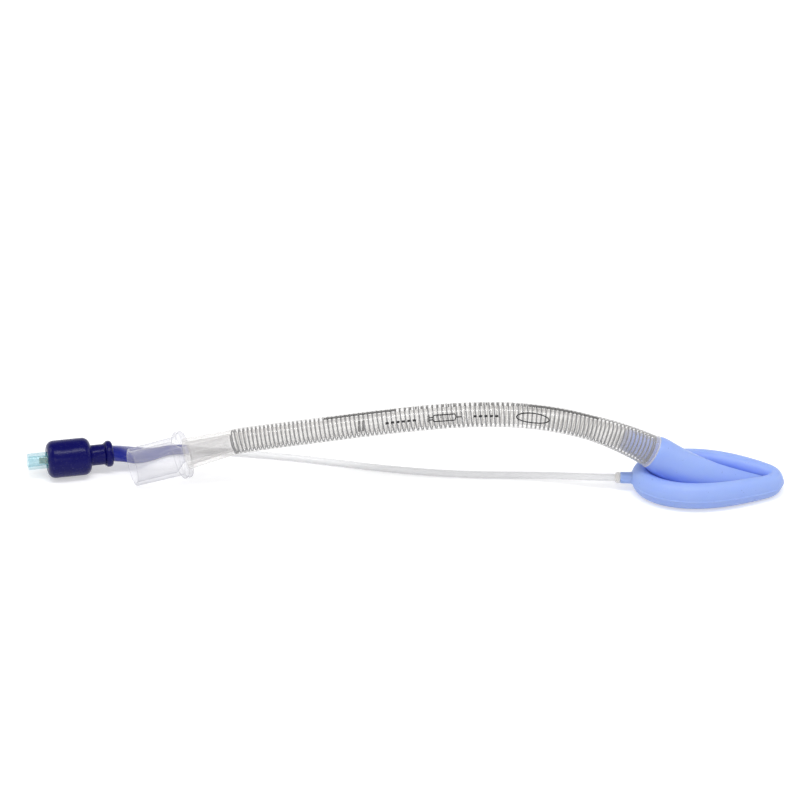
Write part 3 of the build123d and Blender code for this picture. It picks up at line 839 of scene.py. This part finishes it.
class AIRWAY_OT_cuff(bpy.types.Operator):
    """Build the inflated cuff with its parting seam and inflation port"""
    bl_idname = "airway.cuff"
    bl_label = "Cuff"

    def execute(self, context):
        sizes = context.scene.cuff_sizes
        count = 180
        angles = self.angles()
        points, depth = [], []
        for step in range(count):
            share = 2 * step / count
            centre, inward, thinning = roll_at(share)
            half_width = sizes.roll_half_width - thinning
            half_height = sizes.roll_half_height - thinning
            for a in angles:
                seam = self.seam(sizes, a)
                across = inward * (half_width * cos(a)) - inward * seam
                points.append(centre + across + Vector((0, 0, half_height + half_height * sin(a))))
                # Painted shade on the roll's inner upper flank, where it meets the bowl and shade falls in the crease.
                crease_shade = max(0.0, cos(a)) * max(0.0, 1 - abs(sin(a) - 0.25))
                depth.append(0.6 * crease_shade)
        faces = net(count, len(angles), True, True)
        piece = make_piece("cuff_roll", points, faces, blue_silicone(context.scene.finish_colours), 60.0,
                           {"depth": depth})
        dress(piece, BODY, "blue_silicone", "cuff")
        self.make_port(context, sizes)
        return {"FINISHED"}

    def angles(self):
        """Angles round the roll's section, closer together at the seam on its outer side."""
        near = 0.2
        coarse = [2 * pi * step / 72 for step in range(72)]
        plain = [a for a in coarse if abs(a - pi) > near]
        fine = [pi + near * (step - 12) / 12 for step in range(25)]
        return sorted(plain + fine)

    def seam(self, sizes, a):
        """Height of the parting seam at an angle of the section."""
        beside = (a - pi) * sizes.roll_half_height / (sizes.seam_width / 2)
        under = max(0.0, beside) / 9
        return sizes.seam_height * exp(-beside * beside) - sizes.seam_step * under * exp(1 - under)

    def make_port(self, context, sizes):
        """Inflation port with a rounded mouth and a low rim at the heel."""
        radius = sizes.port_diameter / 2
        bore = context.scene.line_sizes.diameter / 2 + sizes.port_gap
        soft = sizes.port_rounding
        root = sizes.port_length + sizes.port_root
        profile = [(bore, sizes.port_socket), (bore, soft)]
        profile += arc((bore + soft, soft), soft, 180, 270, 4)
        profile += arc((radius - soft, soft), soft, 270, 360, 4)
        profile += [(radius, sizes.port_length), (radius + soft, sizes.port_length + 0.4 * MM), (radius, root)]
        profile.append((bore, root))
        place = Matrix.Translation((heel_x() - sizes.port_length, 0, sizes.roll_half_height))
        place = place @ Matrix.Rotation(pi / 2, 4, "Y")
        port = turned("cuff_port", profile, place, blue_silicone(context.scene.finish_colours), 64, 50.0)
        dress(port, BODY, "blue_silicone")


class AIRWAY_OT_bowl(bpy.types.Operator):
    """Build the mask's bowl with its spigot and aperture bars, and the adhesive beads"""
    bl_idname = "airway.bowl"
    bl_label = "Mask bowl"

    def execute(self, context):
        s, tube = context.scene.bowl_sizes, context.scene.tube_sizes
        self.face = station(0.0) @ Matrix.Translation((0, 0, -s.gap))
        around = 112
        points, depth = [], []
        collar, bore = tube.collar_diameter / 2, tube.bore / 2
        turns = [2 * pi * column / around for column in range(around)]
        # The depth held here is painted shade: darker under the collar and towards the skirt, where shade falls.
        for step in range(49):
            points += [self.flank(s, collar, turn, (step / 48) ** 1.3, False) for turn in turns]
            depth += [self.deep(step / 48, abs(1 - turn / pi)) for turn in turns]
        for step in range(33):
            points += [self.flank(s, bore, turn, 1 - step / 32, True) for turn in turns]
        points += self.ring(s.spigot_length, bore, turns)
        for step in range(9):
            along = s.spigot_length * (1 - step / 8)
            points += self.ring(along, bore + flare(tube, along) - s.gap, turns)
        points += self.ring(-s.gap, bore + flare(tube, 0.0) - s.gap, turns)
        rows = len(points) // around
        blue = blue_silicone(context.scene.finish_colours)
        # Weaker painted shade over the bowl's inner skin and the spigot inside the tube.
        depth += [0.2] * (len(points) - len(depth))
        bowl = make_piece("bowl", points, net(rows, around, True, True), blue, 50.0, {"depth": depth})
        dress(bowl, BODY, "blue_silicone", "mask_bowl")
        self.make_bars(s, blue)
        beads = clear_adhesive(context.scene.finish_colours)
        half, thin = s.bead_width / 2, s.bead_width / 3
        profile = [(collar + r, z) for r, z in arc((0.0, 0.0), half, -75, 75, 8)]
        profile += [(collar - thin / 2, half), (collar - thin / 2, -half)]
        ring = turned("collar_ring", profile, self.face, beads, 96, 70.0)
        dress(ring, BODY, "clear_adhesive", "collar_bead")
        refinish("port_bead", beads)
        return {"FINISHED"}

    def deep(self, share, low):
        """How much painted shade darkens the blue: near the belly under the collar, and towards the skirt where the
        bowl meets the cuff.
        """
        return 0.85 * low**2.2 + 0.4 * share**6 * low

    def ring(self, along, radius, turns):
        """Circle of points about the tube's centreline, past the collar's face where the distance is below zero."""
        place = station(along) if along > 0.0 else self.face
        return [place @ Vector((radius * sin(turn), radius * cos(turn), 0)) for turn in turns]

    def flank(self, s, radius, turn, share, inside):
        """Point of the bowl's outer or inner skin, a share of the way from the collar to the skirt."""
        start = self.face @ Vector((radius * sin(turn), radius * cos(turn), 0))
        out = (start - self.face.translation).normalized()
        away = -(self.face.to_3x3() @ Vector((0, 0, 1)))
        up = 1 - abs(1 - turn / pi)
        side = 1 if turn <= pi else -1
        end = self.opening(s, up, side) if inside else self.skirt(s, up, side)
        reach = (end - start).length
        eased = up * up * (3 - 2 * up)
        down = Vector((0.3, 0, -0.95)).lerp(Vector((0.965, 0, -0.26)), eased).normalized()
        square, cube = share * share, share**3
        point = start * (2 * cube - 3 * square + 1) + end * (3 * square - 2 * cube)
        point += away * (1.05 * reach * (cube - 2 * square + share)) + down * (0.94 * reach * (cube - square))
        if not inside:
            swell = share * reach / s.shoulder_run
            point += out * (s.shoulder * swell * exp(1 - swell) * (0.4 + 0.6 * up))
        return point

    def skirt(self, s, up, side):
        """Lower edge of the bowl, along the edge of the cuff's hole."""
        share = s.apex_share * up**0.9
        centre, inward, thinning = roll_at(share if side > 0 else 2 - share)
        edge = centre + inward * (bpy.context.scene.cuff_sizes.roll_half_width - thinning + s.gap)
        edge.y *= 1 - up**16
        edge.z = s.skirt_height + (s.apex_height - s.skirt_height) * up**6
        return edge

    def opening(self, s, up, side):
        """Edge of the opening in the bowl's underside."""
        turn = pi * up
        x = heel_x() + s.opening_start + s.opening_length * (1 - cos(turn)) / 2
        y = side * s.opening_width / 2 * sin(turn) * (1 + 0.25 * cos(turn))
        return Vector((x, y, s.skirt_height))

    def make_bars(self, s, material):
        """Two upright bars across the mouth of the bore."""
        points, faces = [], []
        for middle in (-s.bar_spacing / 2, s.bar_spacing / 2):
            base = len(points)
            for up in (s.bar_rise, -s.bar_drop):
                for across, deep in ((-1, -1), (1, -1), (1, 1), (-1, 1)):
                    place = Vector((middle + across * s.bar_width / 2, -up, -s.bar_station + deep * s.bar_depth / 2))
                    points.append(self.face @ place)
            faces += [(base, base + 1, base + 2, base + 3), (base + 7, base + 6, base + 5, base + 4)]
            for corner in range(4):
                beside = (corner + 1) % 4
                faces.append((base + corner, base + 4 + corner, base + 4 + beside, base + beside))
        bars = make_piece("aperture_bars", points, faces, material)
        dress(bars, BODY, "blue_silicone")


LINE_ROUTE = [
    (67.48, 0.0, 5.4), (55.5, 0.0, 5.4), (42.0, 3.7, 3.2), (28.0, 6.2, 1.5), (9.0, 6.1, 1.375),
    (-10.0, 7.2, 1.375), (-29.0, 9.7, 1.375), (-48.0, 13.2, 1.375), (-67.0, 16.5, 1.375),
    (-85.0, 18.6, 1.375), (-98.0, 19.6, 1.675), (-108.5, 19.4, 2.1), (-112.0, 18.7, 2.1),
]
TAIL_POINT = 11


class AIRWAY_OT_line(bpy.types.Operator):
    """Lay the inflation line"""
    bl_idname = "airway.line"
    bl_label = "Inflation line"

    def execute(self, context):
        sizes = context.scene.line_sizes
        curve = bpy.data.curves.new("inflation_tubing", "CURVE")
        curve.dimensions = "3D"
        spline = curve.splines.new("NURBS")
        spline.points.add(len(LINE_ROUTE) - 1)
        for point, place in zip(spline.points, LINE_ROUTE):
            point.co = (*(Vector(place) * MM), 1.0)
        spline.order_u = 3
        spline.use_endpoint_u = True
        spline.resolution_u = 12
        curve.bevel_depth = sizes.diameter / 2
        curve.bevel_resolution = 8
        curve.use_fill_caps = True
        curve.materials.append(line_silicone(context.scene.finish_colours))
        piece = bpy.data.objects.new("inflation_tubing", curve)
        context.scene.collection.objects.link(piece)
        dress(piece, BODY, "clear_silicone", "inflation_line")
        nodes = frame["nodes"]
        on_it = [nodes[name] for name in ("port_bead", "valve_stem", "stem_seal", "valve_spring", "spring_retainer")]
        on_it += [bpy.data.objects[name] for name in ("balloon", "grip", "valve_barrel")]
        return {"FINISHED"}


def pilot_place(sizes):
    """Frame at the valve's mouth, with z along the group's axis into the grip."""
    ahead = Vector((cos(sizes.turn), sin(sizes.turn), 0))
    across = Vector((-sin(sizes.turn), cos(sizes.turn), 0))
    place = Matrix((across, ahead.cross(across), ahead)).transposed().to_4x4()
    place.translation = Vector((sizes.centre_x, sizes.centre_y, sizes.grip_diameter / 2))
    place.translation -= ahead * (sizes.valve_exposed + sizes.grip_length / 2)
    return place


class AIRWAY_OT_grip(bpy.types.Operator):
    """Build the dark grip with its neck and beaded lip"""
    bl_idname = "airway.grip"
    bl_label = "Pilot grip"

    def execute(self, context):
        s = context.scene.pilot_sizes
        drum, neck, lip = s.grip_diameter / 2, s.neck_diameter / 2, s.lip_diameter / 2
        barrel, passage = s.valve_diameter / 2, s.passage / 2
        soft = s.grip_rounding
        back = s.valve_exposed + s.grip_length
        lip_end = back + s.neck_length + s.lip_width
        bead = 0.45 * s.lip_width
        fillet, edge = s.neck_fillet, s.socket_rounding
        profile = [(barrel, s.valve_length), (barrel, s.valve_exposed + edge)]
        profile += arc((barrel + edge, s.valve_exposed + edge), edge, 180, 270, 4)
        profile += arc((drum - soft, s.valve_exposed + soft), soft, 270, 360, 16)
        profile += arc((drum - soft, back - soft), soft, 0, 90, 16)
        profile += arc((neck + fillet, back + fillet), fillet, 270, 180, 5)
        neck_end = lip_end - s.lip_width
        profile += arc((neck + fillet, neck_end - fillet), fillet, 180, 90, 5)
        profile += arc((lip - bead, neck_end + bead), bead, 270, 360, 10)
        profile += arc((lip - bead, lip_end - bead), bead, 0, 90, 10)
        profile += [(passage, lip_end), (passage, s.valve_length)]
        piece = turned("grip", profile, pilot_place(s), dark_grip(context.scene.finish_colours), 128, 60.0)
        dress(piece, BODY, "dark_grip", "pilot_grip")
        return {"FINISHED"}


class AIRWAY_OT_valve(bpy.types.Operator):
    """Build the valve's barrel and finish what it holds"""
    bl_idname = "airway.valve"
    bl_label = "Check valve"

    def execute(self, context):
        s = context.scene.pilot_sizes
        colours = context.scene.finish_colours
        mouth, depth = s.socket_mouth, s.socket_depth
        behind = depth + s.seat_wall
        outer, soft = s.valve_diameter / 2, s.barrel_rounding
        profile = [(s.seat, behind), (s.seat, depth), (s.socket_floor, depth), (mouth, soft)]
        profile += arc((mouth + soft, soft), soft, 180, 270, 4)
        profile += arc((outer - soft, soft), soft, 270, 360, 5)
        profile += [(outer, s.valve_length), (s.chamber, s.valve_length), (s.chamber, behind)]
        piece = turned("valve_barrel", profile, pilot_place(s), turquoise_polymer(colours), 96, 40.0)
        dress(piece, BODY, "turquoise_polymer", "valve_body")
        refinish("valve_stem", moulded("tan_polymer", colours.tan, (0.45, 0.28, 0.1), 0.4))
        refinish("stem_seal", moulded("seal_rubber", (0.02, 0.02, 0.02), (0.03, 0.03, 0.03), 0.5))
        refinish("valve_spring", spring_steel(colours))
        refinish("spring_retainer", turquoise_polymer(colours))
        return {"FINISHED"}


class AIRWAY_OT_balloon(bpy.types.Operator):
    """Build the flat pilot balloon from the lip to the line"""
    bl_idname = "airway.balloon"
    bl_label = "Pilot balloon"

    def execute(self, context):
        s = context.scene.pilot_sizes
        place = pilot_place(s)
        lip_end = s.valve_exposed + s.grip_length + s.neck_length + s.lip_width
        root = place @ Vector((0, 0, lip_end))
        tail = Vector(LINE_ROUTE[TAIL_POINT]) * MM
        start = (place.to_3x3() @ Vector((0, 0, 1))).normalized()
        tail_run = (Vector(LINE_ROUTE[TAIL_POINT - 1]) * MM - tail)
        end = Vector((tail_run.x, tail_run.y, 0)).normalized()
        count, around = 72, 64
        points = []
        for step in range(count + 1):
            share = step / count
            centre, heading = self.middle(root, tail, start, end, share)
            width, thickness, drop = self.section(s, share)
            resting = thickness / 2 + s.rest_gap
            centre.z = root.z * (1 - drop) + resting * drop
            across = heading.cross(Vector((0, 0, 1))).normalized()
            for column in range(around):
                a = 2 * pi * column / around
                flat = 1.0 - 0.03 * sin(3 * a + 5 * share) * share * (1 - share) * 4
                points.append(centre + across * (width / 2 * cos(a)) + Vector((0, 0, thickness / 2 * sin(a) * flat)))
        mouth = tail + end * s.tail_length
        across = end.cross(Vector((0, 0, 1)))
        reach = s.tail_diameter / 2
        for column in range(around):
            a = 2 * pi * column / around
            points.append(mouth + across * (reach * cos(a)) + Vector((0, 0, reach * sin(a))))
        rows = count + 2
        faces = net(rows, around, True, False)
        faces.append(tuple(range(around))[::-1])
        faces.append(tuple(range((rows - 1) * around, rows * around)))
        piece = make_piece("balloon", points, faces, balloon_film(context.scene.finish_colours), 50.0)
        dress(piece, BODY, "balloon_film", "pilot_balloon")
        return {"FINISHED"}

    def middle(self, root, tail, start, end, share):
        """Point and heading on the balloon's middle line."""
        reach = (tail - root).length
        heading = (start * (1 - share) + end * share).normalized()
        middle = root * (1 - share) ** 2 * (1 + 2 * share) + tail * share**2 * (3 - 2 * share)
        middle += start * (reach * share * (1 - share) ** 2) - end * (reach * share**2 * (1 - share))
        return middle, heading

    def section(self, s, share):
        """Width, thickness and how far the balloon has sunk to the table, at a share of its length."""
        swell = [
            (0.0, 0.72 * s.balloon_width, 2.0 * s.balloon_thickness, 0.0),
            (0.13, 0.85 * s.balloon_width, 1.7 * s.balloon_thickness, 0.18),
            (0.33, s.balloon_width, 1.2 * s.balloon_thickness, 0.58),
            (0.6, 0.75 * s.balloon_width, s.balloon_thickness, 0.92),
            (0.85, 1.2 * s.tail_diameter, 0.95 * s.tail_diameter, 1.0),
            (1.0, s.tail_diameter, s.tail_diameter, 1.0),
        ]
        at = next(i for i in range(len(swell) - 1) if share <= swell[i + 1][0])
        before, after = swell[at], swell[at + 1]
        span = after[0] - before[0]
        part = (share - before[0]) / span
        leaving, arriving = self.lean(swell, at), self.lean(swell, at + 1)
        square, cube = part * part, part**3
        return [before[i] * (2 * cube - 3 * square + 1) + after[i] * (3 * square - 2 * cube)
                + span * (leaving[i] * (cube - 2 * square + part) + arriving[i] * (cube - square)) for i in (1, 2, 3)]

    def lean(self, rows, at):
        """Slope of each value at a row, from the rows beside it."""
        before, after = rows[max(at - 1, 0)], rows[min(at + 1, len(rows) - 1)]
        return [(last - first) / (after[0] - before[0]) for first, last in zip(before, after)]


# Places along the airway, in millimetres
LONG_BARS = ((-51.3, -23.4), (27.7, 55.3))
FIRST_TICK = -22.0
TICK_COUNT = 24
UPRIGHTS = (-37.6, -36.0)
UPRIGHT_REACH = 2.1
DASH_ROWS = ((-27.4, 6), (6.6, 5))
OVAL_MIDDLE = 29.6
OVAL_REACH = 6.3
OVAL_RISE = 1.9


class AIRWAY_OT_print(bpy.types.Operator):
    """Print plain marks on the tube"""
    bl_idname = "airway.print"
    bl_label = "Printed marks"

    def execute(self, context):
        s = context.scene.print_sizes
        self.points, self.faces = [], []
        top, side = -pi / 2, pi + s.side_height
        for start, end in LONG_BARS:
            self.stroke([(start + (end - start) * step / 24, 0.0) for step in range(25)], top, s.bar)
        pitch, half = s.tick_pitch / MM, s.tick / MM / 2
        for tick in range(TICK_COUNT):
            x = FIRST_TICK + pitch * tick
            tall = half * (1.3 if tick % 5 == 0 else 1.0)
            self.stroke([(x, -tall), (x, tall)], top, 1.6 * s.stroke)
        for x in UPRIGHTS:
            self.stroke([(x, -UPRIGHT_REACH), (x, UPRIGHT_REACH)], side, 2.0 * s.stroke)
        for start, count in DASH_ROWS:
            for dash in range(count):
                x = start + pitch * dash
                self.stroke([(x, 0.0), (x + 0.6 * pitch, 0.0)], side, 2.0 * s.stroke)
        oval = [(OVAL_MIDDLE + OVAL_REACH * cos(a), OVAL_RISE * sin(a)) for a in self.turns(48)]
        self.stroke(oval, side, s.stroke)
        self.syringe(side, s.stroke)
        piece = make_piece("tube_marks", self.points, self.faces, printed_ink(context.scene.finish_colours))
        dress(piece, BODY, "clear_silicone")
        return {"FINISHED"}

    def turns(self, count):
        """Angles once round."""
        return [2 * pi * step / count for step in range(count + 1)]

    def syringe(self, turn, width):
        """Plain outline of a syringe: barrel, nozzle, rod, thumb plate and graduations."""
        back, front, half = -9.0, -0.3, 1.25
        soft = 0.5
        barrel = [(back, -half + soft), (back + soft, -half), (front - soft, -half), (front, -half + soft)]
        barrel += [(x, -y) for x, y in reversed(barrel)]
        self.stroke(barrel + barrel[:1], turn, width)
        self.stroke([(front, 0.0), (2.0, 0.0)], turn, width)
        for y in (-0.45, 0.45):
            self.stroke([(back, y), (-10.6, y)], turn, width)
        self.stroke([(-10.8, -1.3), (-10.8, 1.3)], turn, 2.0 * width)
        for x in (-7.6, -6.0, -4.4, -2.8):
            self.stroke([(x, 0.0), (x, half)], turn, 0.6 * width)

    def stroke(self, route, turn, width):
        """Band of ink along a route of millimetres along and round the tube, about a line at an angle round it."""
        base = len(self.points)
        for index, (x, rise) in enumerate(route):
            before, after = route[max(index - 1, 0)], route[min(index + 1, len(route) - 1)]
            ahead = Vector((after[0] - before[0], after[1] - before[1])).normalized()
            for side in (-0.5, 0.5):
                reach = side * width / MM
                self.points.append(self.on_skin((x - reach * ahead.y) * MM, (rise + reach * ahead.x) * MM, turn))
        for step in range(len(route) - 1):
            one = base + 2 * step
            self.faces.append((one, one + 2, one + 3, one + 1))

    def on_skin(self, x, rise, turn):
        """Point just over the tube's skin at a place along the airway, up from a line at an angle round it."""
        sizes, lift = bpy.context.scene.tube_sizes, bpy.context.scene.print_sizes.lift
        low, high = 0.0, sizes.reach
        for halving in range(24):
            along = (low + high) / 2
            radius = sizes.bore / 2 + sizes.wall + flare(sizes, along) + lift
            a = turn + rise / radius
            point = station(along) @ Vector((radius * cos(a), radius * sin(a), 0))
            if point.x > x:
                low = along
            else:
                high = along
        return point


class AIRWAY_PT_panel(bpy.types.Panel):
    """Buttons for the airway's pieces"""
    bl_idname = "AIRWAY_PT_panel"
    bl_label = "Laryngeal mask airway"
    bl_space_type = "VIEW_3D"
    bl_region_type = "UI"
    bl_category = "Airway"

    def draw(self, context):
        for operator in OPERATORS:
            self.layout.operator(operator.bl_idname)


GROUPS = {
    "tube_sizes": TubeSizes,
    "connector_sizes": ConnectorSizes,
    "cuff_sizes": CuffSizes,
    "bowl_sizes": BowlSizes,
    "line_sizes": LineSizes,
    "pilot_sizes": PilotSizes,
    "print_sizes": PrintSizes,
    "finish_colours": FinishColours,
    "stage_sizes": StageSizes,
}
OPERATORS = [
    AIRWAY_OT_stage, AIRWAY_OT_tube, AIRWAY_OT_coil, AIRWAY_OT_connector, AIRWAY_OT_cuff, AIRWAY_OT_bowl,
    AIRWAY_OT_grip, AIRWAY_OT_valve, AIRWAY_OT_balloon, AIRWAY_OT_line, AIRWAY_OT_print,
]


def register():
    """Register the sizes, the operators and the panel."""
    for name, group in GROUPS.items():
        bpy.utils.register_class(group)
        setattr(bpy.types.Scene, name, PointerProperty(type=group))
    for operator in OPERATORS:
        bpy.utils.register_class(operator)
    bpy.utils.register_class(AIRWAY_PT_panel)


def unregister():
    """Take back what register added."""
    bpy.utils.unregister_class(AIRWAY_PT_panel)
    for operator in reversed(OPERATORS):
        bpy.utils.unregister_class(operator)
    for name, group in GROUPS.items():
        delattr(bpy.types.Scene, name)
        bpy.utils.unregister_class(group)


def main():
    """Build every piece."""
    register()
    for operator in OPERATORS:
        group, name = operator.bl_idname.split(".")
        getattr(getattr(bpy.ops, group), name)()


if __name__ == "__main__":
    main()
